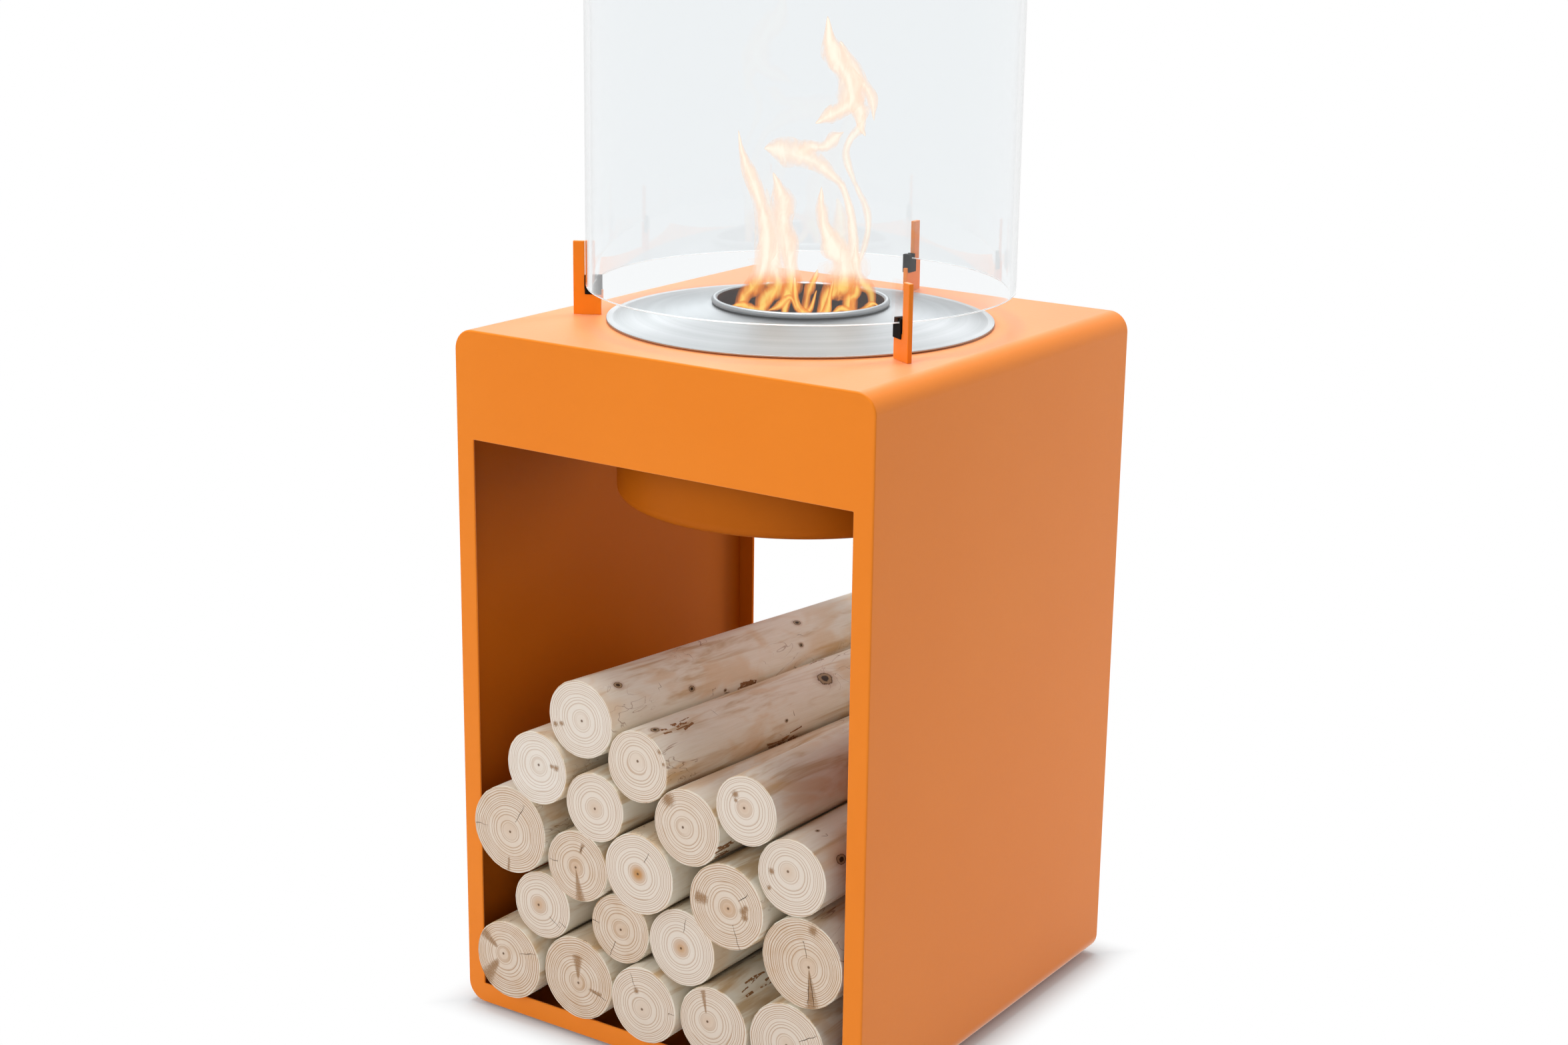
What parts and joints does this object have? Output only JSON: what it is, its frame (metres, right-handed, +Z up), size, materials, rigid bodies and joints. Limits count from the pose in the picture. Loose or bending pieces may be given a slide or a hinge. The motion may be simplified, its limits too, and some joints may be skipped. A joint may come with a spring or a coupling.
{
  "type": "fireplace",
  "caption": "Free-standing fireplace: a painted steel box for logs, open front and rear, with a round burner in its top and a clear glass cylinder held in clips round the flame.",
  "frame": {"origin": "on the floor, under the middle of the box", "axes": "+Z up through the burner and the glass, -Y towards the front opening, +X to the right seen from the front"},
  "size_m": [0.4, 0.424, 1.1],
  "materials": {
    "painted_steel": "fine-texture powder coat, orange, satin",
    "brushed_stainless": "brushed stainless sheet",
    "zinc_steel": "bright zinc plate",
    "black_rubber": "moulded, matt",
    "ceramic_wool": "pressed fibre, matt",
    "clear_glass": "clear, polished edges",
    "log_wood": "peeled and sawn, dry"
  },
  "bodies": {
    "box": {"box_wrapper": "painted_steel", "front_frame": "painted_steel", "rear_frame": "painted_steel", "burner_drum": "painted_steel", "foot_1": "black_rubber", "foot_2": "black_rubber", "foot_3": "black_rubber", "foot_4": "black_rubber", "foot_nut_1": "zinc_steel", "foot_nut_2": "zinc_steel", "foot_nut_3": "zinc_steel", "foot_nut_4": "zinc_steel", "glass_bracket_1": "painted_steel", "glass_bracket_2": "painted_steel", "glass_bracket_3": "painted_steel", "glass_clip_1": "black_rubber", "glass_clip_2": "black_rubber", "glass_clip_3": "black_rubber"},
    "glass": {"glass_cylinder": "clear_glass"},
    "plate": {"top_plate": "brushed_stainless"},
    "burner": {"burner_can": "brushed_stainless", "burner_wool": "ceramic_wool", "burner_grid": "brushed_stainless"},
    "log_stack": {"log_01": "log_wood", "log_02": "log_wood", "log_03": "log_wood", "log_04": "log_wood", "log_05": "log_wood", "log_06": "log_wood", "log_07": "log_wood", "log_08": "log_wood", "log_09": "log_wood", "log_10": "log_wood", "log_11": "log_wood", "log_12": "log_wood", "log_13": "log_wood", "log_14": "log_wood", "log_15": "log_wood", "log_16": "log_wood", "log_17": "log_wood", "log_18": "log_wood", "log_19": "log_wood"},
    "top_log": {"top_log": "log_wood"}
  },
  "joints": [
    {"name": "glass_lift", "type": "slide", "parent": "box", "child": "glass", "axis": [0, 0, 1], "range_m": [0, 0.1]},
    {"name": "plate_lift", "type": "slide", "parent": "box", "child": "plate", "axis": [0, 0, 1], "range_m": [0, 0.12]},
    {"name": "burner_lift", "type": "slide", "parent": "plate", "child": "burner", "axis": [0, 0, 1], "range_m": [0, 0.13]},
    {"name": "log_stack_slide", "type": "slide", "parent": "box", "child": "log_stack", "axis": [0, -1, 0], "range_m": [0, 0.43]},
    {"name": "top_log_slide", "type": "slide", "parent": "log_stack", "child": "top_log", "axis": [-0.0147, -0.998, 0.061], "range_m": [0, 0.43]}
  ]
}
